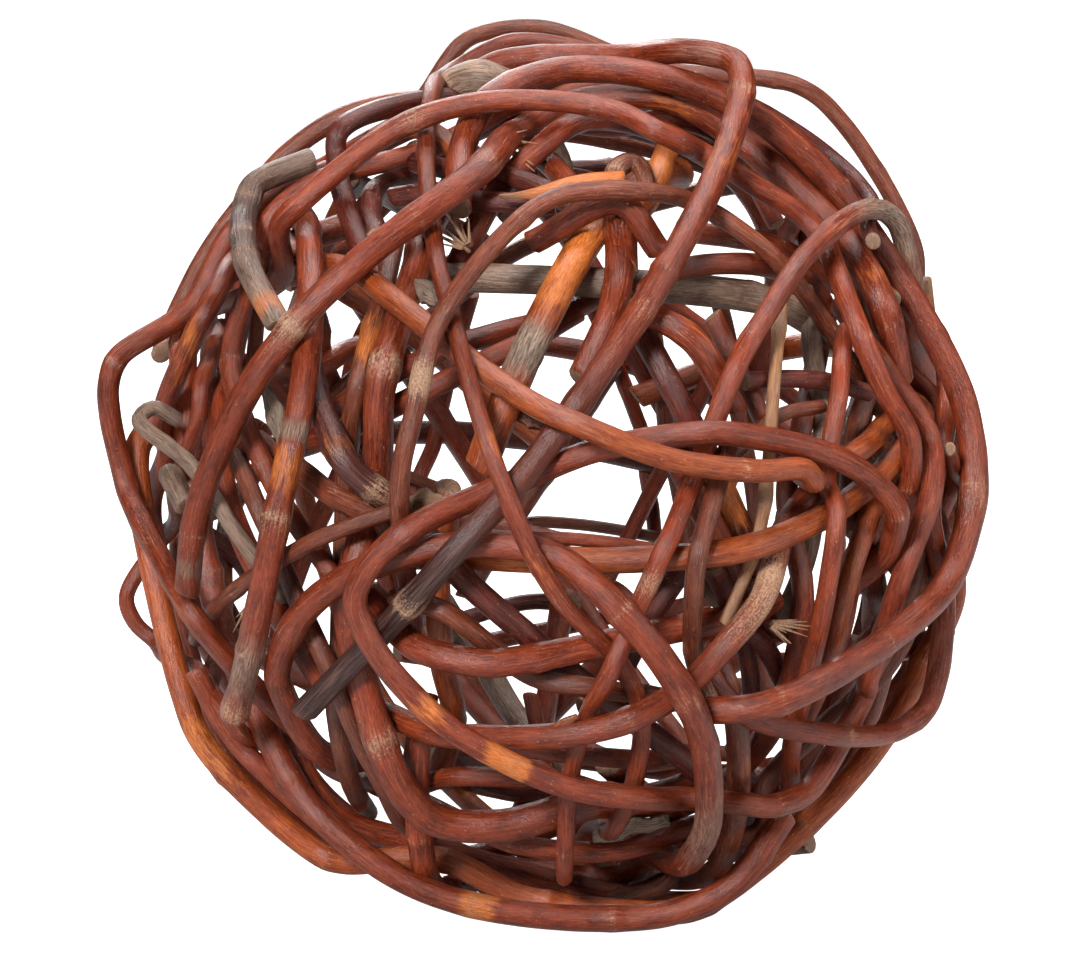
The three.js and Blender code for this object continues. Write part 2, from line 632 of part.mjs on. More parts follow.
// A rod is a cylinder, bent along its stations. Its ends are cut with a slant.
function bentRod(points) {
  const bays = points.length - 1;
  const sides = points[0].radius < slimRadius ? slimSides : rodSides;
  const shape = new THREE.CylinderGeometry(1, 1, 1, sides, bays);
  const along = points.map((point, i) => {
    const before = points[Math.max(i - 1, 0)].place;
    const after = points[Math.min(i + 1, bays)].place;
    return new THREE.Vector3().subVectors(after, before).normalize();
  });
  const side = new THREE.Vector3().crossVectors(along[0], points[0].place).normalize();
  const frames = along.map((forward, i) => {
    if (i > 0) {
      side.applyQuaternion(new THREE.Quaternion().setFromUnitVectors(along[i - 1], forward));
    }
    return { side: side.clone(), up: new THREE.Vector3().crossVectors(side, forward) };
  });
  const corner = new THREE.Vector3();
  const corners = shape.getAttribute('position');
  for (let i = 0; i < corners.count; i += 1) {
    corner.fromBufferAttribute(corners, i);
    const station = Math.round((corner.y + 0.5) * bays);
    const { place, radius } = points[station];
    const frame = frames[station];
    const isEnd = station === 0 || station === bays;
    const slant = isEnd ? corner.x * cutSlope * radius : 0;
    const bent = place.clone()
      .addScaledVector(frame.side, corner.x * radius)
      .addScaledVector(frame.up, corner.z * radius)
      .addScaledVector(along[station], slant);
    corners.setXYZ(i, bent.x, bent.y, bent.z);
  }
  shape.deleteAttribute('normal');
  shape.deleteAttribute('uv');
  return mergeVertices(shape);
}

function solidOf(shape) {
  return new wasm.Manifold(new wasm.Mesh({
    numProp: 3,
    vertProperties: new Float32Array(shape.getAttribute('position').array),
    triVerts: new Uint32Array(shape.getIndex().array),
  }));
}

function shapeOf(solid) {
  const mesh = solid.getMesh();
  const shape = new THREE.BufferGeometry();
  shape.setAttribute('position', new THREE.BufferAttribute(mesh.vertProperties, 3));
  shape.setIndex(new THREE.BufferAttribute(mesh.triVerts, 1));
  return shape;
}

// Cuts a rod flat where it bears on the surface below.
function pressedFlat(shape) {
  shape.computeBoundingBox();
  if (shape.boundingBox.min.z > 0) {
    return shape;
  }
  const size = 4 * outerReach;
  const ground = new THREE.BoxGeometry(size, size, size).translate(0, 0, -size / 2);
  ground.deleteAttribute('normal');
  ground.deleteAttribute('uv');
  return shapeOf(solidOf(shape).subtract(solidOf(mergeVertices(ground))));
}

const all = [...rods, ...backRods];
const wires = [...rods.map(frontWire), ...backRods.map(backWire)];
settle(wires);
const settled = wires.map(stations);
finish(settled);

const ball = new THREE.Group();
all.forEach((rod, index) => {
  const shape = bentRod(settled[index]).translate(0, 0, floorDepth);
  const bark = new THREE.MeshStandardMaterial({ ...rod.bark, metalness: 0 });
  const mesh = new THREE.Mesh(pressedFlat(shape), bark);
  mesh.name = rod.name;
  ball.add(mesh);
});
const extent = new THREE.Box3().setFromObject(ball);
const middle = extent.getCenter(new THREE.Vector3());
ball.position.set(-middle.x, -middle.y, 0);

export default ball;
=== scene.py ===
"""A hollow ball wound by hand from long willow rods, on a pale floor in soft studio light."""

import json
import math
import random

import bmesh
import bpy
from mathutils import Matrix, Vector, kdtree, noise


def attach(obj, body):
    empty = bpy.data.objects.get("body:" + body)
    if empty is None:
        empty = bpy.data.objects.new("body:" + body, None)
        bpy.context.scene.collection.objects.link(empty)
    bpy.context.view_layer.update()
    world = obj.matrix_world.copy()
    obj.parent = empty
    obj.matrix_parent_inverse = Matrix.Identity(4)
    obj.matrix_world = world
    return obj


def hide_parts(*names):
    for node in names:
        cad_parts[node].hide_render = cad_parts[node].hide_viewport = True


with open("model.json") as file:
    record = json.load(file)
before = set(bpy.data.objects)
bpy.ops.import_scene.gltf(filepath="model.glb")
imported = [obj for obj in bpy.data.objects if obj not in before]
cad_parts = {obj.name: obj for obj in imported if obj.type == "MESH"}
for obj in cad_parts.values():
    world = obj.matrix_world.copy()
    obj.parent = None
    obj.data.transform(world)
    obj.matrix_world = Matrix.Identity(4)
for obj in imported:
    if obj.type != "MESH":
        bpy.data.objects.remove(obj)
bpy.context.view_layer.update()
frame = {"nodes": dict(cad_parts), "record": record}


# ---------------------------------------------------------------------------------------------
# The studio: a white floor that runs on out of sight, a white room, and three soft lights.
# The camera looks at the ball's middle from a little above, with a long lens.
# ---------------------------------------------------------------------------------------------
mm = 0.001
ball_middle = Vector((2.09, 0.09, 71.6)) * mm
camera_distance = 700 * mm
camera_rise = math.radians(10)
lens = 136.7  # mm
off_centre = (-0.0115, 0.0101)  # how far the lens is shifted, in sensor widths
nearest_seen, furthest_seen = 0.01, 50.0


def make_camera():
    camera = bpy.data.cameras.new("camera")
    camera.lens = lens
    camera.shift_x, camera.shift_y = off_centre
    camera.clip_start, camera.clip_end = nearest_seen, furthest_seen
    viewer = bpy.data.objects.new("camera", camera)
    backwards = Vector((0, -math.cos(camera_rise), math.sin(camera_rise)))
    viewer.location = ball_middle + backwards * camera_distance
    viewer.rotation_euler = backwards.to_track_quat("Z", "Y").to_euler()
    bpy.context.scene.collection.objects.link(viewer)
    bpy.context.scene.camera = viewer


def make_floor():
    half_width = 12.0
    floor_white, floor_roughness = 0.5, 0.9
    seen_glow = 1.0  # only the camera sees the floor glow, so that it is pure white
    bm = bmesh.new()
    bmesh.ops.create_grid(bm, x_segments=1, y_segments=1, size=half_width)
    mesh = bpy.data.meshes.new("floor")
    bm.to_mesh(mesh)
    bm.free()
    floor = bpy.data.objects.new("floor", mesh)
    bpy.context.scene.collection.objects.link(floor)
    paint = bpy.data.materials.new("white_floor")
    paint.use_nodes = True
    surface = paint.node_tree.nodes["Principled BSDF"]
    surface.inputs["Base Color"].default_value = (floor_white, floor_white, floor_white, 1)
    surface.inputs["Roughness"].default_value = floor_roughness
    surface.inputs["Emission Color"].default_value = (1, 1, 1, 1)
    eye = paint.node_tree.nodes.new("ShaderNodeLightPath")
    glow = paint.node_tree.nodes.new("ShaderNodeMath")
    glow.operation = "MULTIPLY"
    glow.inputs[1].default_value = seen_glow
    paint.node_tree.links.new(eye.outputs["Is Camera Ray"], glow.inputs[0])
    paint.node_tree.links.new(glow.outputs[0], surface.inputs["Emission Strength"])
    mesh.materials.append(paint)


def soft_light(name, place, width, power):
    """A round, soft light that faces the ball. Metres and watts."""
    light = bpy.data.lights.new(name, "AREA")
    light.shape = "DISK"
    light.size = width
    light.energy = power
    lamp = bpy.data.objects.new(name, light)
    lamp.location = place
    lamp.rotation_euler = (Vector(place) - ball_middle).to_track_quat("Z", "Y").to_euler()
    bpy.context.scene.collection.objects.link(lamp)


def make_room():
    world = bpy.data.worlds.new("white_room")
    bpy.context.scene.world = world
    world.use_nodes = True
    tree = world.node_tree
    tree.nodes["Background"].inputs["Color"].default_value = (1, 1, 1, 1)
    seen_strength, lit_strength = 1.05, 0.035  # as the camera sees it, and as it lights the ball
    eye = tree.nodes.new("ShaderNodeLightPath")
    strength = tree.nodes.new("ShaderNodeMapRange")
    strength.inputs["To Min"].default_value = lit_strength
    strength.inputs["To Max"].default_value = seen_strength
    tree.links.new(eye.outputs["Is Camera Ray"], strength.inputs["Value"])
    tree.links.new(strength.outputs[0], tree.nodes["Background"].inputs["Strength"])
    soft_light("front_light", (-0.45, -1.2, 0.75), 0.34, 25)
    soft_light("top_light", (0.1, 0.15, 1.3), 0.6, 17)
    soft_light("right_light", (1.1, -0.5, 0.6), 0.4, 7)
    soft_light("back_light", (-0.3, 1.3, 0.8), 0.5, 10)
    bpy.context.scene.view_settings.view_transform = "Standard"


make_camera()
make_floor()
make_room()


# ---------------------------------------------------------------------------------------------
# Red rods: long shoots of red willow, which make up most of the ball. Each is one shoot, bent
# while it was wet and tucked between the others, which alone hold it. The thin, half glossy
# bark has fine streaks, small pale pores and, at the buds, rough pale rings.
# ---------------------------------------------------------------------------------------------
class Nodes:
    """Puts nodes in a tree, each with its inputs, and returns what comes out."""

    def __init__(self, tree):
        self.tree = tree

    def add(self, kind, out=0, **settings):
        node = self.tree.nodes.new(kind)
        inputs = settings.pop("inputs", {})
        for name, value in settings.items():
            setattr(node, name, value)
        for name, value in inputs.items():
            if isinstance(value, bpy.types.NodeSocket):
                self.tree.links.new(value, node.inputs[name])
            else:
                node.inputs[name].default_value = value
        return node.outputs[out]

    def math(self, operation, a, b=0.0, clamp=False):
        inputs = {0: a, 1: b}
        return self.add("ShaderNodeMath", operation=operation, use_clamp=clamp, inputs=inputs)

    def times(self, a, b):
        return self.math("MULTIPLY", a, b)

    def plus(self, a, b, clamp=False):
        return self.math("ADD", a, b, clamp)

    def noise(self, vector, scale, detail=2.0, roughness=0.5):
        inputs = {"Vector": vector, "Scale": scale, "Detail": detail, "Roughness": roughness}
        return self.add("ShaderNodeTexNoise", inputs=inputs)

    def ramp(self, value, low, high, to_low=0.0, to_high=1.0):
        inputs = {
            "Value": value, "From Min": low, "From Max": high, "To Min": to_low, "To Max": to_high,
        }
        return self.add("ShaderNodeMapRange", inputs=inputs)

    def mix(self, factor, a, b, blend="MIX"):
        return self.add(
            "ShaderNodeMix", out=2, data_type="RGBA", blend_type=blend,
            inputs={0: factor, 6: a, 7: b},
        )


def new_group(name, takes, gives):
    group = bpy.data.node_groups.new(name, "ShaderNodeTree")
    for socket, kind in takes:
        group.interface.new_socket(socket, in_out="INPUT", socket_type=kind)
    for socket, kind in gives:
        group.interface.new_socket(socket, in_out="OUTPUT", socket_type=kind)
    entrance = group.nodes.new("NodeGroupInput")
    way_out = group.nodes.new("NodeGroupOutput")
    return group, Nodes(group), entrance.outputs, way_out.inputs


# Colours that are the same on every kind of bark: dark streaks and pores, then the darkest and
# lightest of the inner bark, of grey old bark, of the freshest bark and of bare wood.
streak_dark, pore_pale = (0.03, 0.006, 0.004, 1), (0.48, 0.22, 0.12, 1)
inner_deep, inner_light = (0.33, 0.065, 0.01, 1), (0.6, 0.18, 0.035, 1)
grey_deep, grey_light = (0.05, 0.03, 0.021, 1), (0.36, 0.25, 0.18, 1)
fresh_deep, fresh_light = (0.02, 0.008, 0.006, 1), (0.12, 0.05, 0.04, 1)
wood_deep, wood_light = (0.2, 0.095, 0.05, 1), (0.5, 0.3, 0.19, 1)
pattern_radius = 2.0  # mm of the circle that a pattern is wound on, about that of a rod
glossiest, dullest = 0.24, 0.46
crack_depth = 2.4  # beside the fine streaks


def bark_group():
    """Bark. The wear map gives what is rubbed, grey, dark and bare, and tone how light it is."""
    colour, value = "NodeSocketColor", "NodeSocketFloat"
    group, make, given, result = new_group(
        "bark",
        [("Bark", colour), ("Deep", colour), ("Bloom", colour), ("Rubbed", value), ("Old", value)],
        [("Color", colour), ("Roughness", value), ("Height", value)],
    )
    # Round and along the rod, both in mm, so that a pattern has no seam.
    uv = make.add("ShaderNodeUVMap", uv_map="rod")
    parts = make.tree.nodes.new("ShaderNodeSeparateXYZ")
    make.tree.links.new(uv, parts.inputs[0])
    turn = make.times(parts.outputs[0], 2 * math.pi)
    round_x = make.times(make.math("COSINE", turn), pattern_radius)
    round_y = make.times(make.math("SINE", turn), pattern_radius)
    along = make.times(parts.outputs[1], 1 / mm)

    def stretched(share):
        """Where a pattern is read that is drawn out along the rod."""
        scaled = make.times(along, share)
        return make.add("ShaderNodeCombineXYZ", inputs={0: round_x, 1: round_y, 2: scaled})

    wear = make.tree.nodes.new("ShaderNodeAttribute")
    wear.attribute_name = "wear"
    worn = make.tree.nodes.new("ShaderNodeSeparateColor")
    make.tree.links.new(wear.outputs["Color"], worn.inputs[0])
    tone = make.add("ShaderNodeAttribute", out="Fac", attribute_name="tone")

    streaks = make.noise(stretched(0.05), 3.4, 3.0, 0.6)
    fine = make.noise(stretched(0.1), 7.5, 2.0, 0.6)
    mottle = make.noise(stretched(0.4), 0.5, 3.0, 0.6)
    grain = make.noise(stretched(0.8), 3.2, 3.0, 0.7)

    base = make.mix(make.ramp(mottle, 0.36, 0.6), given["Deep"], given["Bark"])
    pale_streaks = make.times(make.ramp(streaks, 0.5, 0.72), 0.6)
    base = make.mix(pale_streaks, base, given["Bloom"])
    dark_streaks = make.times(make.ramp(fine, 0.47, 0.33), 0.65)
    base = make.mix(dark_streaks, base, make.mix(0.4, given["Deep"], streak_dark))
    base = make.mix(make.times(make.ramp(fine, 0.54, 0.7), 0.45), base, given["Bloom"])

    # Pores: small pale dots.
    pores = make.add(
        "ShaderNodeTexVoronoi", feature="F1",
        inputs={"Vector": stretched(0.8), "Scale": 1.15, "Randomness": 1.0},
    )
    pore = make.times(make.ramp(pores, 0.2, 0.12), make.ramp(grain, 0.5, 0.6))
    base = make.mix(make.times(pore, 0.7), base, pore_pale)

    # Rubbed: orange inner bark, in patches with ragged edges along the streaks.
    ragged = make.plus(make.times(streaks, 0.5), make.times(mottle, 0.5))
    lift = make.plus(make.times(worn.outputs[0], 1.1), given["Rubbed"])
    rubbed = make.ramp(make.plus(ragged, make.math("SUBTRACT", lift, 0.5)), 0.5, 0.68)
    orange = make.mix(make.ramp(fine, 0.35, 0.65), inner_deep, inner_light)
    base = make.mix(rubbed, base, orange)

    # Old: grey and cracked along the rod.
    cracks = make.noise(stretched(0.12), 4.5, 3.0, 0.65)
    aged = make.plus(worn.outputs[1], given["Old"], clamp=True)
    aged = make.ramp(make.plus(make.times(ragged, 0.7), aged), 0.72, 1.0)
    grey = make.mix(make.ramp(cracks, 0.35, 0.62), grey_deep, grey_light)
    base = make.mix(aged, base, grey)

    # The freshest bark is purple-black.
    darkened = make.ramp(make.plus(make.times(ragged, 0.5), worn.outputs[2]), 0.55, 0.95)
    black = make.mix(make.ramp(streaks, 0.42, 0.72), fresh_deep, fresh_light)
    base = make.mix(darkened, base, black)

    # Bare wood, on the cut ends and where bark has come off.
    flakes = make.plus(make.times(grain, 0.5), make.times(streaks, 0.5))
    wood = make.mix(make.ramp(grain, 0.3, 0.7), wood_deep, wood_light)
    bare = make.ramp(make.plus(flakes, make.times(wear.outputs["Alpha"], 0.5)), 0.64, 0.84)
    base = make.mix(bare, base, wood)

    # Each rod, and each stretch of it, is a little lighter or darker.
    shade = make.add("ShaderNodeCombineXYZ", inputs={0: tone, 1: tone, 2: tone})
    base = make.mix(1.0, base, shade, "MULTIPLY")

    # Old bark and bare wood are dull, and their cracks are the deepest marks.
    rough = make.ramp(streaks, 0.3, 0.75, glossiest, dullest)
    rough = make.plus(rough, make.times(aged, 0.3))
    rough = make.plus(rough, make.times(bare, 0.3), clamp=True)
    height = make.plus(make.times(fine, 0.6), make.times(grain, 0.35))
    height = make.plus(height, make.times(pore, 0.35))
    height = make.plus(height, make.times(make.times(cracks, aged), crack_depth))
    make.tree.links.new(base, result["Color"])
    make.tree.links.new(rough, result["Roughness"])
    make.tree.links.new(height, result["Height"])
    return group


bark_pattern = bark_group()
bump_strength = 0.7
bump_height = 0.28 * mm
specular = 0.42


def bark_material(slot, bark, deep, bloom, rubbed=0.0, old=0.0):
    """bark, deep and bloom are its usual, darkest and palest colour.

    rubbed and old are how worn it is even where it has no mark.
    """
    material = bpy.data.materials.new("fine_" + slot)
    material.use_nodes = True
    tree = material.node_tree
    surface = tree.nodes["Principled BSDF"]
    pattern = tree.nodes.new("ShaderNodeGroup")
    pattern.node_tree = bark_pattern
    pattern.inputs["Bark"].default_value = (*bark, 1)
    pattern.inputs["Deep"].default_value = (*deep, 1)
    pattern.inputs["Bloom"].default_value = (*bloom, 1)
    pattern.inputs["Rubbed"].default_value = rubbed
    pattern.inputs["Old"].default_value = old
    bump = tree.nodes.new("ShaderNodeBump")
    bump.inputs["Strength"].default_value = bump_strength
    bump.inputs["Distance"].default_value = bump_height
    tree.links.new(pattern.outputs["Color"], surface.inputs["Base Color"])
    tree.links.new(pattern.outputs["Roughness"], surface.inputs["Roughness"])
    tree.links.new(pattern.outputs["Height"], bump.inputs["Height"])
    tree.links.new(bump.outputs["Normal"], surface.inputs["Normal"])
    surface.inputs["Specular IOR Level"].default_value = specular
    return material


ring_step = 1.0 * mm  # from one ring of a rod's mesh to the next
sides = 14
welded = 0.001 * mm  # corners closer than this are one
pattern_spread = 50  # each piece has its own stretch of the patterns, up to this far along
laid = []  # (place, radius) along every rod that lies in the ball so far


def rings_of(node):
    """The middle and radius of each ring of a CAD rod, from its lower end."""
    bm = bmesh.new()
    bm.from_mesh(frame["nodes"][node].data)
    bmesh.ops.remove_doubles(bm, verts=bm.verts, dist=welded)
    bm.normal_update()
    same_way = 0.9999
    on_floor = 0.01 * mm
    # An end is a fan of flat triangles about its middle. A flat that rests on the floor isn't one.
    caps = [
        v for v in bm.verts
        if all(f.normal.dot(v.link_faces[0].normal) > same_way for f in v.link_faces)
        and v.link_faces[0].normal.z > -same_way
    ]
    first = min(caps, key=lambda v: v.co.z)
    last = max(caps, key=lambda v: (v.co - first.co).length)
    corners = min(len(cap.link_edges) for cap in caps)
    seen = {first}
    ring = [first]
    rings = []
    while ring:
        ring = list({e.other_vert(v) for v in ring for e in v.link_edges} - seen)
        seen.update(ring)
        if len(ring) == corners and min(v.co.z for v in ring) > on_floor:
            middle = sum((v.co for v in ring), Vector()) / corners
            rings.append((middle, min((v.co - middle).length for v in ring)))
    # The ring at an end may be cut by the floor: its cap's middle stands for it.
    if (rings[0][0] - first.co).length > on_floor:
        rings.insert(0, (first.co.copy(), rings[0][1]))
    if (rings[-1][0] - last.co).length > on_floor:
        rings.append((last.co.copy(), rings[-1][1]))
    bm.free()
    return rings


def smooth_line(rings):
    """Points about ring_step apart on a smooth line through the rings: (place, radius, along)."""
    places = [place for place, radius in rings]
    padded = [2 * places[0] - places[1], *places, 2 * places[-1] - places[-2]]
    line = []
    along = 0.0
    for i in range(1, len(padded) - 2):
        a, b, c, d = padded[i - 1:i + 3]
        t_ab, t_bc, t_cd = ((q - p).length ** 0.5 for p, q in ((a, b), (b, c), (c, d)))
        leave = ((b - a) / t_ab - (c - a) / (t_ab + t_bc)) * t_bc + (c - b)
        arrive = ((d - c) / t_cd - (d - b) / (t_bc + t_cd)) * t_bc + (c - b)
        count = max(1, round((c - b).length / ring_step))
        for k in range(count + (i == len(padded) - 3)):
            t = k / count
            place = (
                b * (2 * t ** 3 - 3 * t ** 2 + 1) + leave * (t ** 3 - 2 * t ** 2 + t)
                + c * (3 * t ** 2 - 2 * t ** 3) + arrive * (t ** 3 - t ** 2)
            )
            radius = rings[i - 1][1] * (1 - t) + rings[i][1] * t
            if line:
                along += (place - line[-1][0]).length
            line.append((place, radius, along))
    return line


def carried_frames(line):
    """Two directions across the rod at each point of its line, which never twist."""
    count = len(line)
    forwards = [
        (line[min(i + 1, count - 1)][0] - line[max(i - 1, 0)][0]).normalized()
        for i in range(count)
    ]
    side = forwards[0].orthogonal().normalized()
    frames = []
    for i, forward in enumerate(forwards):
        if i:
            side = forwards[i - 1].rotation_difference(forward) @ side
        side = (side - forward * side.dot(forward)).normalized()
        frames.append((side, forward.cross(side), forward))
    return frames


def near_by(distance, width):
    """1 at no distance, and falling away to nothing over about twice the width."""
    return math.exp(-(distance / width) ** 2)


# What a mark does at its middle: swelling, and how rubbed, grey, dark and bare the bark is.
mark_kinds = {
    "rubbed": (0.0, 1.0, 0.0, 0.0, 0.0),
    "grey": (0.0, 0.0, 1.0, 0.0, 0.0),
    "dark": (0.0, 0.0, 0.0, 1.0, 0.0),
    "bare": (0.0, 0.0, 0.0, 0.0, 0.8),
    "ring": (0.12, 0.0, 0.05, 0.0, 0.42),
    "knot": (0.3, 0.2, 0.1, 0.0, 0.3),
    "thick": (0.3, 0.0, 0.0, 0.0, 0.0),
    "thin": (-0.6, 0.0, 0.0, 0.0, 0.0),
}


first_bud, bud_spacing = (6, 24), (16, 40)  # least and most mm
bud_size = (0.2, 1.0)
bud_reach = 5  # mm that a bud takes up, each way along its rod


def budded(chance, length):
    """Buds along a rod: (at mm, which way, size)."""
    buds = []
    reach = chance.uniform(*first_bud)
    while reach < length - bud_reach:
        buds.append((reach, chance.uniform(0, 2 * math.pi), chance.uniform(*bud_size)))
        reach += chance.uniform(*bud_spacing)
    return buds


# How a rod is uneven. A swelling is a share of its radius, and a length is in mm along it.
long_swell, long_swell_length = 0.035, 16
oval, oval_length = 0.03, 40
small_bumps, bump_length = 0.025, 5
old_ridges, ridge_length = 0.12, 7
rub_patches, rub_length, rub_least = 0.5, 13, 0.05
shades = (0.84, 1.16)  # of one rod beside another
shade_drift, drift_length = 0.3, 21
collar_swell, collar_width = 0.05, 2.0  # all round a bud
scar_bare, scar_width = 0.38, 0.9
bud_swell, bud_width, bud_point = 0.2, 1.1, 6  # on its own side of the rod
cut_slant = 0.35
mark_least = 0.003  # fainter than this, a mark isn't there
end_rims = ((0.9, 0.1), (0.6, 0.03))  # each rim's share of the last one, and its rise in radii
end_wear, end_tone = (0, 0.2, 0, 0.7), 0.7


def willow_mesh(name, line, marks):
    """A bent rod. marks are (kind, mm from its first end, half length in mm, strength)."""
    frames = carried_frames(line)
    length = line[-1][2]
    chance = random.Random(name)
    offset = Vector([chance.uniform(0, pattern_spread) for axis in range(3)])
    shade = chance.uniform(*shades)
    buds = budded(chance, length / mm)

    # What depends on the place along the rod alone: a swelling, four kinds of wear, a tone.
    worn = []
    for place, radius, along in line:
        at = along / mm
        rubbing = rub_patches * noise.noise(offset + Vector((0, at / rub_length, 7)))
        row = [
            long_swell * noise.noise(offset + Vector((at / long_swell_length, 0, 0))),
            max(0.0, rubbing - rub_least), 0.0, 0.0, 0.0,
        ]
        for bud, where, size in buds:
            row[0] += collar_swell * size * near_by(at - bud, collar_width)
            row[4] += scar_bare * size * near_by(at - bud, scar_width)
        for kind, centre, half, strength in marks:
            near = near_by(at - centre, half) * strength
            if abs(near) > mark_least:
                row = [r + m * near for r, m in zip(row, mark_kinds[kind])]
        tone = shade + shade_drift * noise.noise(offset + Vector((3, at / drift_length, 0)))
        worn.append((*row, tone))

    bm = bmesh.new()
    uv = bm.loops.layers.uv.new("rod")
    wear = bm.verts.layers.float_color.new("wear")
    tones = bm.verts.layers.float.new("tone")
    bmesh.ops.create_grid(bm, x_segments=sides, y_segments=len(line) - 1, size=0.5, calc_uvs=True)
    for face in bm.faces:
        for loop in face.loops:
            i = round((loop.vert.co.y + 0.5) * (len(line) - 1))
            loop[uv].uv = (loop.vert.co.x + 0.5, line[i][2] + offset.x)
    for v in bm.verts:
        turn = (v.co.x + 0.5) * 2 * math.pi
        i = round((v.co.y + 0.5) * (len(line) - 1))
        place, radius, along = line[i]
        side, up, forward = frames[i]
        at = along / mm
        swell, rubbed, grey, dark, bare, tone = worn[i]
        around = Vector((math.cos(turn), math.sin(turn), 0)) * radius / mm
        swell += oval * math.cos(2 * turn + offset.x + at / oval_length)
        bumpy = noise.noise(offset + around * 0.8 + Vector((0, 0, at / bump_length)))
        swell += small_bumps * bumpy
        for bud, where, size in buds:
            if abs(at - bud) < bud_reach:
                facing = math.cos(turn - where) * 0.5 + 0.5
                swell += bud_swell * size * near_by(at - bud, bud_width) * facing ** bud_point
        old = min(1.0, grey + bare * 0.5)
        ridged = noise.noise(offset + around * 1.7 + Vector((0, 0, at / ridge_length)))
        swell += old * old_ridges * ridged
        across = side * math.cos(turn) + up * math.sin(turn)
        slant = 0.0
        for end, sign in ((0.0, 1), (length, -1)):
            close = max(0.0, 1 - abs(along - end) / (2 * radius))
            slant += sign * close * cut_slant * radius * math.cos(turn + offset.y)
        v.co = place + across * radius * (1 + swell) + forward * slant
        v.co.z = max(v.co.z, 0.0)
        v[wear] = (rubbed, grey, dark, bare)
        v[tones] = tone
    bmesh.ops.remove_doubles(bm, verts=bm.verts, dist=2 * welded)
    for i, sign in ((0, -1), (-1, 1)):
        close_end(bm, wear, tones, line[i], frames[i][2] * sign)
    bmesh.ops.recalc_face_normals(bm, faces=bm.faces)
    for face in bm.faces:
        face.smooth = True
    mesh = bpy.data.meshes.new(name)
    bm.to_mesh(mesh)
    bm.free()
    return mesh


def close_end(bm, wear, tones, end, outwards):
    """Closes a rod's open end with a rounded rim and weathered bare wood."""
    place, radius, along = end
    rim = [
        e for e in bm.edges
        if e.is_boundary and (e.verts[0].co - place).length < 2.5 * radius
    ]
    for inset, rise in end_rims:
        made = bmesh.ops.extrude_edge_only(bm, edges=rim)["geom"]
        verts = [g for g in made if isinstance(g, bmesh.types.BMVert)]
        rim = [g for g in made if isinstance(g, bmesh.types.BMEdge)
               and g.verts[0] in verts and g.verts[1] in verts]
        middle = sum((v.co for v in verts), Vector()) / len(verts)
        for v in verts:
            v.co = middle + (v.co - middle) * inset + outwards * rise * radius
            v.co.z = max(v.co.z, 0.0)
            v[wear] = end_wear
            v[tones] = end_tone
    bmesh.ops.contextual_create(bm, geom=rim)


def slot_of(material):
    """The slot of the record that a material is for."""
    return material.name.removeprefix("fine_")


def put_in_ball(name, mesh, material, nodes=()):
    """Places a finished mesh in the ball, instead of the CAD nodes that it stands for."""
    mesh.materials.append(material)
    piece = bpy.data.objects.new(name, mesh)
    bpy.context.scene.collection.objects.link(piece)
    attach(piece, "root")
    for node in nodes:
        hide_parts(node)


def lay_rods(material, marks):
    """Makes each CAD rod of this bark again, finer, with its marks."""
    for part in frame["record"]["subparts"]:
        if part["material_slot"] == slot_of(material):
            node = part["node"]
            line = smooth_line(rings_of(node))
            laid.extend((place, radius) for place, radius, along in line[::2])
            mesh = willow_mesh("willow_" + node, line, marks.get(node, ()))
            put_in_ball("willow_" + node, mesh, material, [node])


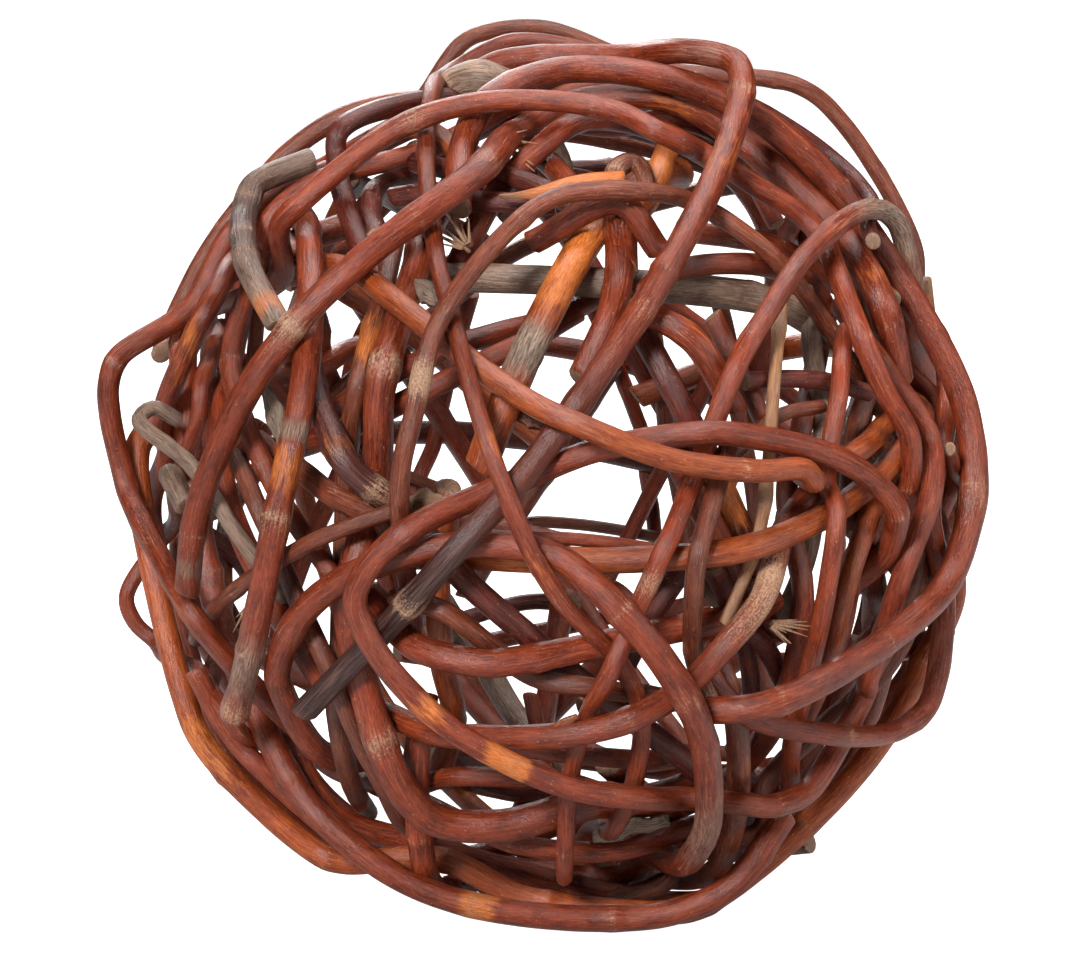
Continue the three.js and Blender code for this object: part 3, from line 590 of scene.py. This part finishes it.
red_bark = bark_material(
    "red_bark", (0.205, 0.028, 0.007), (0.1, 0.011, 0.003), (0.37, 0.088, 0.036),
)
red_marks = {
    "long_diagonal": [
        ("grey", 5, 4, 0.5), ("bare", 49, 5, 0.5), ("ring", 91, 2.5, 0.8),
        ("rubbed", 147, 7, 0.5), ("rubbed", 193, 6, 0.4), ("grey", 196, 4, 0.3),
    ],
    "dark_diagonal": [
        ("grey", 186, 15, 0.42), ("ring", 201, 2.5, 0.9), ("rubbed", 219, 9, 0.5),
        ("ring", 252, 2, 0.7), ("dark", 268, 16, 0.4), ("knot", 270, 2.5, 0.5),
        ("dark", 307, 26, 0.75), ("ring", 311, 2.5, 0.9), ("dark", 333, 14, 0.7),
        ("grey", 337, 6, 0.5),
    ],
    "club_rod": [
        ("bare", 2, 3, 0.6), ("thick", 1, 4, 0.5), ("grey", 12, 14, 0.55), ("ring", 38, 2.5, 0.8),
        ("rubbed", 47, 7, 0.6), ("grey", 53, 3, 0.6),
    ],
    "left_bow": [
        ("rubbed", 35, 16, 0.4), ("ring", 54, 3, 0.6), ("bare", 48, 3, 0.3), ("grey", 88, 9, 0.4),
    ],
    "left_outline": [("rubbed", 218, 18, 0.45)],
    "left_inner": [("rubbed", 14, 16, 0.5)],
    "thick_bow": [("ring", 131, 2.5, 1.0), ("ring", 69, 3, 0.9), ("grey", 69, 2, 0.4)],
    "big_loop": [
        ("rubbed", 145, 7, 0.4), ("rubbed", 159, 5, 0.9), ("bare", 160, 3, 0.35),
        ("knot", 216, 3, 0.3),
    ],
    "heavy_sweep": [("ring", 65, 3, 0.7), ("ring", 146, 3, 0.7), ("grey", 178, 24, 0.5)],
    "right_crook": [
        ("bare", 99, 3, 0.6), ("rubbed", 150, 12, 0.4), ("grey", 192, 24, 0.62),
        ("bare", 1, 3, 0.5), ("ring", 172, 2.5, 0.6), ("ring", 205, 2.5, 0.6),
    ],
    "right_outline": [("ring", 74, 3, 0.8)],
    "upper_arc": [("ring", 180, 3, 0.9)],
    "slim_centre": [("bare", 148, 5, 0.3), ("rubbed", 160, 40, 0.25)],
    "bottom_outline": [("rubbed", 58, 5, 0.7), ("bare", 57, 3, 0.3)],
    "peeled_bow": [("bare", 75, 11, 0.75)],
    "knot_spur": [("thick", 8, 8, 0.4), ("rubbed", 12, 12, 0.4)],
    "lower_right_bow": [("bare", 40, 3, 0.3), ("ring", 70, 2.5, 0.5), ("ring", 110, 2.5, 0.5)],
}
lay_rods(red_bark, red_marks)


# ---------------------------------------------------------------------------------------------
# Dark rods: shoots whose bark has stayed purple-black and half glossy, with grey knots.
# They are tucked in as the red ones are, and only the other rods hold them.
# ---------------------------------------------------------------------------------------------
dark_bark = bark_material(
    "dark_bark", (0.1, 0.014, 0.007), (0.04, 0.005, 0.003), (0.2, 0.052, 0.033),
)
dark_marks = {
    "purple_cross": [
        ("bare", 2, 3, 0.6), ("rubbed", 128, 5, 0.4), ("knot", 128, 3, 0.6), ("ring", 118, 3, 0.9),
        ("dark", 120, 26, 0.5),
    ],
    "purple_inner": [("rubbed", 17, 9, 0.7)],
    "top_upright": [("grey", 25, 30, 0.45)],
}
lay_rods(dark_bark, dark_marks)


# ---------------------------------------------------------------------------------------------
# Orange rods: shoots whose outer bark is rubbed off along most of their length, down to the
# orange inner bark. They are wound in with the others.
# ---------------------------------------------------------------------------------------------
orange_bark = bark_material(
    "orange_bark", (0.27, 0.048, 0.008), (0.15, 0.02, 0.004), (0.43, 0.125, 0.038), 0.03,
)
orange_marks = {
    "bottom_left_outline": [("rubbed", 187, 14, 0.5)],
    "inner_stick": [
        ("rubbed", 45, 40, 0.4), ("bare", 60, 24, 0.25), ("grey", 20, 7, 0.7), ("dark", 18, 5, 0.4),
    ],
    "orange_bar": [("rubbed", 30, 30, 0.4)],
    "front_wave": [("rubbed", 60, 40, 0.3), ("ring", 95, 2.5, 0.6)],
}
lay_rods(orange_bark, orange_marks)


# ---------------------------------------------------------------------------------------------
# Brown rods: older shoots with a duller, mauve-brown bark, some with a cut end in sight.
# They pass over and under the red rods, which hold them.
# ---------------------------------------------------------------------------------------------
brown_bark = bark_material(
    "brown_bark", (0.16, 0.031, 0.011), (0.08, 0.013, 0.005), (0.32, 0.115, 0.062), 0.0, 0.06,
)
brown_marks = {
    "slim_mauve": [("ring", 220, 3.5, 1.0), ("bare", 220, 3, 0.5), ("knot", 171, 3, 0.5)],
    "top_bow": [("knot", 90, 2.5, 0.6)],
    "top_left_outline": [("rubbed", 115, 14, 0.4), ("bare", 1, 3, 0.5)],
    "brown_upright": [("rubbed", 10, 4, 0.6), ("rubbed", 102, 9, 0.6)],
    "slim_upright": [("bare", 2, 4, 0.7), ("thick", 2, 3, 0.3)],
    "left_cut": [("bare", 1, 3, 0.6)],
}
lay_rods(brown_bark, brown_marks)


# ---------------------------------------------------------------------------------------------
# Grey rods: dead shoots, weathered grey and cracked lengthways, stiff and rough. They bend
# little, so they are short and lie caught between the others.
# ---------------------------------------------------------------------------------------------
grey_bark = bark_material(
    "grey_bark", (0.2, 0.115, 0.078), (0.085, 0.046, 0.032), (0.4, 0.27, 0.19), 0.0, 0.42,
)
grey_marks = {
    "little_crook": [("rubbed", 12, 10, 0.4)],
    "grey_crook": [
        ("rubbed", 4, 5, 0.6), ("dark", 28, 26, 0.62), ("bare", 42, 3, 0.4), ("ring", 16, 2, 0.7),
        ("ring", 36, 2.5, 0.9), ("bare", 24, 2, 0.4),
    ],
    "grey_splinter": [("thick", 30, 14, 0.3), ("bare", 60, 10, 0.25)],
}
lay_rods(grey_bark, grey_marks)


# ---------------------------------------------------------------------------------------------
# A tan twig: one thin, dead, peeled twig with two swollen joints, pushed in between the rods.
# ---------------------------------------------------------------------------------------------
tan_bark = bark_material(
    "tan_bark", (0.36, 0.17, 0.075), (0.2, 0.08, 0.035), (0.5, 0.29, 0.17), 0.0, 0.1,
)
tan_marks = {
    "pale_twig": [
        ("knot", 50, 2, 0.9), ("knot", 21, 2, 0.9), ("bare", 21, 3, 0.5), ("bare", 50, 3, 0.5),
    ],
}
lay_rods(tan_bark, tan_marks)


# ---------------------------------------------------------------------------------------------
# Inner rods: shorter ends that are tucked in behind the rods of the front, seen through its
# gaps. A route's waypoints are [turn, rise, depth]: turn is degrees round the ball from its
# front, rise is degrees above its middle, depth is mm in from the outermost layer.
# ---------------------------------------------------------------------------------------------
outer_reach = 71.3 * mm  # from the ball's middle to the middle of a rod in the outermost layer
tuck_step = 3.0 * mm  # between the points that are pressed clear
tuck_rounds = 26
tuck_gap = 0.2 * mm  # between two rods that lie on each other
give = 0.9  # how much of the push that it needs a point gets in each round
fairing = 0.3  # how far each point goes, in each round, to lie between its neighbours
run_on = 9 * mm  # how far a tucked rod goes on past its waypoints at each end


def on_ball(turn, rise, depth):
    """A waypoint's place."""
    turn, rise = math.radians(turn), math.radians(rise)
    outwards = Vector((
        math.sin(turn) * math.cos(rise), -math.cos(turn) * math.cos(rise), math.sin(rise),
    ))
    return ball_middle + outwards * (outer_reach - depth * mm)


def settled(points, radius, reach):
    """Presses a tucked rod's points clear of the rods that are there, and keeps it smooth."""
    tree = kdtree.KDTree(len(laid))
    for j, (place, other) in enumerate(laid):
        tree.insert(place, j)
    tree.balance()
    widest = max(other for place, other in laid)
    for count in range(tuck_rounds):
        pushed = []
        for p in points:
            push = Vector()
            weight = 0
            for place, j, distance in tree.find_range(p, radius + widest + tuck_gap):
                overlap = radius + laid[j][1] + tuck_gap - distance
                if overlap > 0 and distance > 0:
                    push += (p - place) * (overlap / distance)
                    weight += 1
            p = p + push * (give / weight) if weight else p
            outwards = p - ball_middle
            if outwards.length > reach:
                p = ball_middle + outwards.normalized() * reach
            p.z = max(p.z, radius)
            pushed.append(p)
        points = [
            p.lerp((pushed[i - 1] + pushed[i + 1]) / 2, fairing) if 0 < i < len(pushed) - 1 else p
            for i, p in enumerate(pushed)
        ]
    return points


def tuck_rod(name, material, girth, route, marks=(), beyond=run_on, press=True):
    """girth is a rod's diameter in mm at the two ends of its route."""
    places = [on_ball(*waypoint) for waypoint in route]
    if beyond:
        places.insert(0, places[0] + (places[0] - places[1]).normalized() * beyond)
        places.append(places[-1] + (places[-1] - places[-2]).normalized() * beyond)
    rough_line = smooth_line([(place, 0.0) for place in places])
    stride = round(tuck_step / ring_step)
    points = [place for place, radius, along in rough_line[::stride]]
    half = sum(girth) / 4 * mm
    reach = outer_reach - min(waypoint[2] for waypoint in route) * mm
    if press:
        points = settled(points, half, reach)
    last = len(points) - 1
    rings = [
        (p, (girth[0] + (girth[1] - girth[0]) * i / last) / 2 * mm) for i, p in enumerate(points)
    ]
    line = smooth_line(rings)
    laid.extend((place, radius) for place, radius, along in line[::2])
    put_in_ball(name, willow_mesh(name, line, marks), material)


inner_rods = {
    "inner_slim": (
        red_bark, (2.4, 2.2), [[335, 0, 11], [347, 2, 11], [0, 3, 11], [8, 2, 11], [16, 0, 11]],
    ),
    "inner_cross": (dark_bark, (3.4, 3.2), [[23, -1, 14], [17, -8, 14], [13, -17, 14]]),
    "inner_stick_left": (
        orange_bark, (4.4, 4.0), [[342, 1, 14], [341, -12, 14], [339, -23, 14], [334, -38, 14]],
    ),
    "inner_grey_upright": (
        grey_bark, (3.4, 3.0), [[55, 31, 12], [47, 16, 12], [44, 5, 12], [42, -4, 12]],
    ),
    "inner_mottled": (brown_bark, (3.8, 3.4), [[74, 28, 9], [60, 18, 9], [55, 8, 9]]),
    "inner_red_slant": (
        red_bark, (4.6, 4.2), [[23, 9, 13], [27, 1, 13], [31, -5, 13], [37, -11, 13]],
    ),
    "inner_grey_twig": (grey_bark, (3.2, 2.6), [[24, -5, 15], [31, -10, 15], [40, -12, 15]]),
    "inner_dark_slant": (dark_bark, (3.6, 3.2), [[30, -9, 11], [37, -16, 11], [45, -27, 11]]),
    "inner_dark_upright": (dark_bark, (3.2, 3.0), [[34, -14, 14], [40, -27, 14], [46, -37, 14]]),
    "inner_right_1": (red_bark, (3.8, 3.4), [[55, -5, 9], [52, -14, 9], [50, -26, 9]]),
    "inner_right_2": (brown_bark, (3.6, 3.2), [[71, -1, 6], [67, -10, 6], [63, -21, 6]]),
    "inner_right_3": (dark_bark, (3.0, 2.8), [[38, 24, 7], [44, 24, 7], [50, 22, 7]]),
    "inner_right_4": (red_bark, (3.2, 3.0), [[32, 27, 10], [33, 23, 10], [35, 19, 10]]),
    "upper_left_1": (
        dark_bark, (4.2, 3.8), [[306, 51, 10], [279, 60, 10], [261, 65, 10], [257, 70, 10]],
    ),
    "upper_left_2": (red_bark, (4.0, 3.6), [[227, 34, 5], [218, 43, 5], [212, 51, 5]]),
    "upper_left_3": (dark_bark, (4.0, 3.6), [[264, 57, 8], [217, 45, 8], [202, 39, 8]]),
    "left_thick": (brown_bark, (4.0, 3.6), [[312, 11, 12], [320, 9, 12], [327, 7, 12]]),
    "top_red_slant": (red_bark, (4.0, 3.8), [[229, 83, 9], [353, 72, 9], [4, 63, 9]]),
    "top_dark_level": (
        dark_bark, (3.4, 3.2), [[323, 66, 8], [336, 66, 8], [352, 63, 8], [357, 61, 8]],
    ),
    "top_dark_low": (dark_bark, (3.6, 3.4), [[326, 58, 9], [339, 58, 9], [351, 59, 9]]),
    "top_grey_upright": (grey_bark, (4.2, 3.8), [[189, 85, 13], [2, 84, 13], [3, 64, 13]]),
    "top_brown_upright": (brown_bark, (3.2, 3.0), [[126, 82, 18], [122, 80, 18], [30, 72, 18]]),
    "rim_upper_right": (
        dark_bark, (2.9, 2.7),
        [[87, 65, -2], [93, 54, -2], [92, 50, -2], [89, 45, -2], [71, 41, -2]],
    ),
    "rim_lower_left": (red_bark, (3.5, 3.3), [[299, -28, 1], [303, -35, 1], [305, -43, 1]]),
}
for name, (material, girth, route) in inner_rods.items():
    tuck_rod(name, material, girth, route)


# ---------------------------------------------------------------------------------------------
# Far rods: more ends of the same shoots, tucked into the far side of the ball, which close
# most of its gaps.
# ---------------------------------------------------------------------------------------------
far_rods = {
    "far_dark_level": (
        dark_bark, (4.6, 4.2),
        [[212, 0, 3], [195, -1, 3], [185, -2, 3], [178, -3, 3], [167, -5, 3]],
    ),
    "far_riser": (
        red_bark, (3.0, 2.8),
        [[196, 15, 4], [198, 5, 4], [200, -3, 4], [204, -10, 4], [207, -19, 4]],
    ),
    "far_thin": (
        brown_bark, (2.1, 1.9), [[208, -6, 8], [204, -8, 8], [196, -11, 8], [191, -14, 8]],
    ),
    "far_brown": (
        brown_bark, (4.2, 3.8), [[174, 5, 6], [181, -5, 6], [186, -14, 6], [192, -22, 6]],
    ),
    "far_level": (
        brown_bark, (2.3, 2.1),
        [[194, -16, 5], [187, -16, 5], [178, -15, 5], [167, -17, 5], [157, -18, 5]],
    ),
    "far_upright_1": (
        red_bark, (2.9, 2.7),
        [[172, 15, 2], [169, 7, 2], [167, 0, 2], [165, -7, 2], [164, -15, 2], [162, -23, 2]],
    ),
    "far_upright_2": (
        brown_bark, (3.3, 3.1),
        [[164, 19, 6], [163, 8, 6], [162, 0, 6], [159, -8, 6], [156, -18, 6]],
    ),
    "far_upright_3": (
        red_bark, (3.2, 3.0), [[154, 8, 9], [161, -6, 9], [165, -14, 9], [168, -21, 9]],
    ),
    "far_low_1": (dark_bark, (3.2, 3.0), [[194, -31, 7], [182, -27, 7], [172, -29, 7]]),
    "far_low_2": (
        red_bark, (3.3, 3.1), [[202, -35, 3], [183, -33, 3], [172, -31, 3], [158, -28, 3]],
    ),
    "far_low_3": (red_bark, (3.8, 3.6), [[204, -42, 9], [198, -52, 9], [189, -63, 9]]),
    "far_low_4": (grey_bark, (5.4, 4.6), [[197, -35, 4], [191, -45, 4], [184, -55, 4]]),
    "far_low_5": (red_bark, (3.6, 3.4), [[187, -55, 3], [155, -57, 3], [127, -55, 3]]),
    "far_low_6": (dark_bark, (3.6, 3.2), [[221, -62, 5], [193, -65, 5], [162, -67, 5]]),
    "far_low_7": (red_bark, (3.4, 3.0), [[167, -58, 5], [154, -59, 5], [138, -57, 5]]),
    "far_low_8": (red_bark, (3.6, 3.4), [[212, -60, 4], [193, -65, 4], [171, -66, 4]]),
    "far_right_1": (red_bark, (3.1, 2.9), [[157, 18, 4], [147, 11, 4], [138, 6, 4], [128, 1, 4]]),
    "far_right_2": (
        brown_bark, (3.1, 2.9), [[148, 19, 9], [147, 7, 9], [145, -3, 9], [142, -15, 9]],
    ),
    "far_right_3": (red_bark, (3.4, 3.2), [[128, -5, 6], [126, -17, 6], [116, -29, 6]]),
    "far_right_4": (dark_bark, (3.4, 3.2), [[101, 9, 9], [108, -8, 9], [104, -25, 9]]),
    "far_right_5": (red_bark, (3.4, 3.2), [[164, -31, 6], [151, -34, 6], [136, -35, 6]]),
    "far_right_6": (brown_bark, (3.4, 3.2), [[137, -19, 8], [136, -30, 8], [125, -41, 8]]),
    "far_right_7": (red_bark, (3.6, 3.4), [[131, 33, 5], [126, 39, 5], [109, 48, 5]]),
    "far_left_1": (red_bark, (3.6, 3.4), [[229, 27, 4], [220, 18, 4], [215, 8, 4], [214, -1, 4]]),
    "far_left_2": (dark_bark, (3.6, 3.2), [[251, -15, 8], [241, -23, 8], [240, -34, 8]]),
    "far_top_1": (dark_bark, (3.4, 3.2), [[186, 47, 4], [174, 48, 4], [160, 49, 4]]),
    "far_top_2": (red_bark, (3.6, 3.4), [[177, 61, 5], [161, 58, 5], [141, 53, 5]]),
}
for name, (material, girth, route) in far_rods.items():
    tuck_rod(name, material, girth, route)


# ---------------------------------------------------------------------------------------------
# Stubs: short, thick ends and knots that stick out between the rods, where a shoot was cut or
# snapped off. Some are peeled or curled over.
# ---------------------------------------------------------------------------------------------
stubs = {
    "stub_right": (
        red_bark, (2.2, 2.8), [[66, 9, 2], [70, 8, 2], [74, 5, 2], [84, 0, 1]],
        [("rubbed", 22, 6, 0.5)],
    ),
    "knob_right": (
        tan_bark, (3.4, 3.0), [[89, 30, 0], [89, 28, 0], [88, 25, 2]], [("rubbed", 3, 3, 0.5)],
    ),
    "stub_grey": (
        grey_bark, (2.8, 2.6), [[66, 31, 3], [77, 33, 2], [86, 34, 1]], [("rubbed", 4, 8, 0.5)],
    ),
    "knob_left": (
        grey_bark, (4.0, 3.6), [[295, 6, 2], [299, 5, 1], [302, 3, 1]], [("bare", 4, 3, 0.3)],
    ),
    "knob_top": (
        grey_bark, (5.6, 5.0),
        [[250, 74, 2], [238, 80, 0], [228, 85, -1], [150, 80, 1], [140, 75, 4]],
        [("knot", 10, 3, 0.8), ("ring", 5, 2, 1.0), ("dark", 16, 4, 0.4)],
    ),
    "peeled_end": (
        tan_bark, (2.6, 4.0), [[347, 55, 6], [350, 55, 6], [359, 56, 6], [8, 57, 6], [20, 59, 7]],
        [("rubbed", 12, 14, 0.8), ("thin", 0, 6, 1.2), ("bare", 4, 6, 0.3)],
    ),
    "curl": (
        brown_bark, (3.2, 3.0),
        [[16, 57, 7], [17, 63, 6], [25, 67, 6], [33, 66, 6], [32, 61, 6], [24, 56, 8]],
        [("bare", 14, 14, 0.35), ("rubbed", 30, 8, 0.4)],
    ),
    "golden_stub": (
        orange_bark, (4.4, 4.0), [[18, 58, 9], [32, 64, 8], [55, 69, 8]], [("rubbed", 12, 14, 0.8)],
    ),
    "pale_end": (
        tan_bark, (4.0, 3.8), [[70, -56, 8], [66, -54, 5], [64, -52, 3]], [("bare", 8, 6, 0.7)],
    ),
}
for name, (material, girth, route, marks) in stubs.items():
    tuck_rod(name, material, girth, route, marks, beyond=0)

# The bend that joins the two legs of the folded rod at the front: it covers their ends.
fold = [[14, 44, 10.6], [15.4, 49.5, 10.6], [16.5, 54, 9.4], [20, 57, 9.5], [24, 56, 12]]
tuck_rod("knuckle_fold", red_bark, (5.3, 5.0), fold, [("ring", 8, 2.5, 0.5)], beyond=0, press=False)


# ---------------------------------------------------------------------------------------------
# Scraps: chips of bark, dry leaves and a loose splinter. They are thin and curled, and are
# caught between the rods.
# ---------------------------------------------------------------------------------------------
scrap_thickness = 0.5 * mm
scrap_strips, scrap_strips_across = 14, 5
scrap_tip, scrap_fullness = 0.08, 0.7  # how blunt its points are, and how soon it is full
scrap_ragged, scrap_wavy = 0.35, 0.25
scrap_rubbed, scrap_grey, scrap_bare, scrap_tone = 0.1, 0.35, 0.25, 0.85


def caught_scrap(name, material, start, end, width, curl):
    """A thin strip from start to end on the ball, pointed at its ends and curled across."""
    a, b = on_ball(*start), on_ball(*end)
    outwards = ((a + b) / 2 - ball_middle).normalized()
    side = (b - a).cross(outwards).normalized()
    chance = random.Random(name)
    offset = Vector((chance.uniform(0, pattern_spread), 0, 0))
    bm = bmesh.new()
    uv = bm.loops.layers.uv.new("rod")
    wear = bm.verts.layers.float_color.new("wear")
    tones = bm.verts.layers.float.new("tone")
    bmesh.ops.create_grid(
        bm, x_segments=scrap_strips_across, y_segments=scrap_strips, size=0.5, calc_uvs=True,
    )
    for face in bm.faces:
        for loop in face.loops:
            loop[uv].uv = (loop.vert.co.x * 0.5, loop.vert.co.y * (b - a).length)
    for v in bm.verts:
        u, t = v.co.x, v.co.y + 0.5
        full = math.sin(math.pi * (scrap_tip + (1 - 2 * scrap_tip) * t)) ** scrap_fullness
        ragged = 1 + scrap_ragged * noise.noise(offset + Vector((t * 6, u, 0)))
        wavy = noise.noise(offset + Vector((t * 3, u * 2, 5))) * width * scrap_wavy
        aside = u * width * full * ragged + wavy * 0.5
        lift = curl * width * (0.25 - u * u) + wavy / 1.5
        v.co = a.lerp(b, t) + side * aside * mm + outwards * lift * mm
        bare = scrap_bare + 0.3 * noise.noise(offset + Vector((t * 5, u * 3, 9)))
        v[wear] = (scrap_rubbed, scrap_grey, 0, bare)
        v[tones] = scrap_tone + 0.4 * noise.noise(offset + Vector((t * 4, u * 3, 3)))
    bmesh.ops.solidify(bm, geom=bm.faces[:], thickness=scrap_thickness)
    bmesh.ops.recalc_face_normals(bm, faces=bm.faces)
    for face in bm.faces:
        face.smooth = True
    mesh = bpy.data.meshes.new(name)
    bm.to_mesh(mesh)
    bm.free()
    put_in_ball(name, mesh, material)


caught_scrap("chip_pale", grey_bark, (312, 21, 5), (318, 13, 6), 3.6, 0.6)
caught_scrap("leaf_middle", brown_bark, (353, 23, 10), (0, 19, 10), 4.2, 0.8)
caught_scrap("leaf_left", grey_bark, (333, 40, 8), (339, 37, 8), 3.2, 0.9)
caught_scrap("leaf_tan", tan_bark, (337, 7, 10), (344, 8, 9), 3.4, 0.8)
caught_scrap("splinter", orange_bark, (358, -24, 2), (3, -20, 1), 1.4, 0.5)
caught_scrap("leaf_low", grey_bark, (8, -49, 6), (24, -46, 6), 5.0, 0.7)


# ---------------------------------------------------------------------------------------------
# Tufts: torn fibres of bark at the broken ends of rods. Each fibre is fast to its rod at its
# root and free at its tip.
# ---------------------------------------------------------------------------------------------
fibre_sides = 5
fibre_root, fibre_tip = 0.32 * mm, 0.05 * mm
fibre_reach = (0.5, 1.1)  # least and most of the way to the tip
fibre_wear, fibre_tone = (0.2, 0.2, 0.0, 0.7), 0.9
root_spread = 0.25  # of what the fibres spread further on


def torn_tuft(name, material, root, tip, count, spread):
    """Fibres from root, all towards tip but spread out; both are places on the ball."""
    a, b = on_ball(*root), on_ball(*tip)
    chance = random.Random(name)
    bm = bmesh.new()
    uv = bm.loops.layers.uv.new("rod")
    wear = bm.verts.layers.float_color.new("wear")
    tones = bm.verts.layers.float.new("tone")
    for fibre in range(count):
        aside = Vector([chance.gauss(0, 1) for axis in range(3)])
        heading = (b - a) * chance.uniform(*fibre_reach) + aside * spread * mm
        start = a + aside * root_spread * spread * mm
        turned = heading.to_track_quat("Z", "Y").to_matrix().to_4x4()
        bmesh.ops.create_cone(
            bm, cap_ends=True, segments=fibre_sides, radius1=fibre_root, radius2=fibre_tip,
            depth=heading.length, matrix=Matrix.Translation(start + heading / 2) @ turned,
        )
    for v in bm.verts:
        v[wear] = fibre_wear
        v[tones] = fibre_tone
    for face in bm.faces:
        for loop in face.loops:
            loop[uv].uv = ((loop.vert.co.x - a.x) / (10 * mm), loop.vert.co.z - a.z)
    mesh = bpy.data.meshes.new(name)
    bm.to_mesh(mesh)
    bm.free()
    put_in_ball(name, mesh, material)


torn_tuft("tuft_left", tan_bark, (339, 49, 11), (330, 53, 10), 16, 1.6)
torn_tuft("tuft_top", tan_bark, (338, 69, 6), (350, 66, 6), 12, 1.4)
torn_tuft("tuft_right", tan_bark, (31, -10, 4), (37, -12, 4), 14, 1.1)
torn_tuft("tuft_club", grey_bark, (315, -9, 1), (312, -12, 1), 8, 0.9)
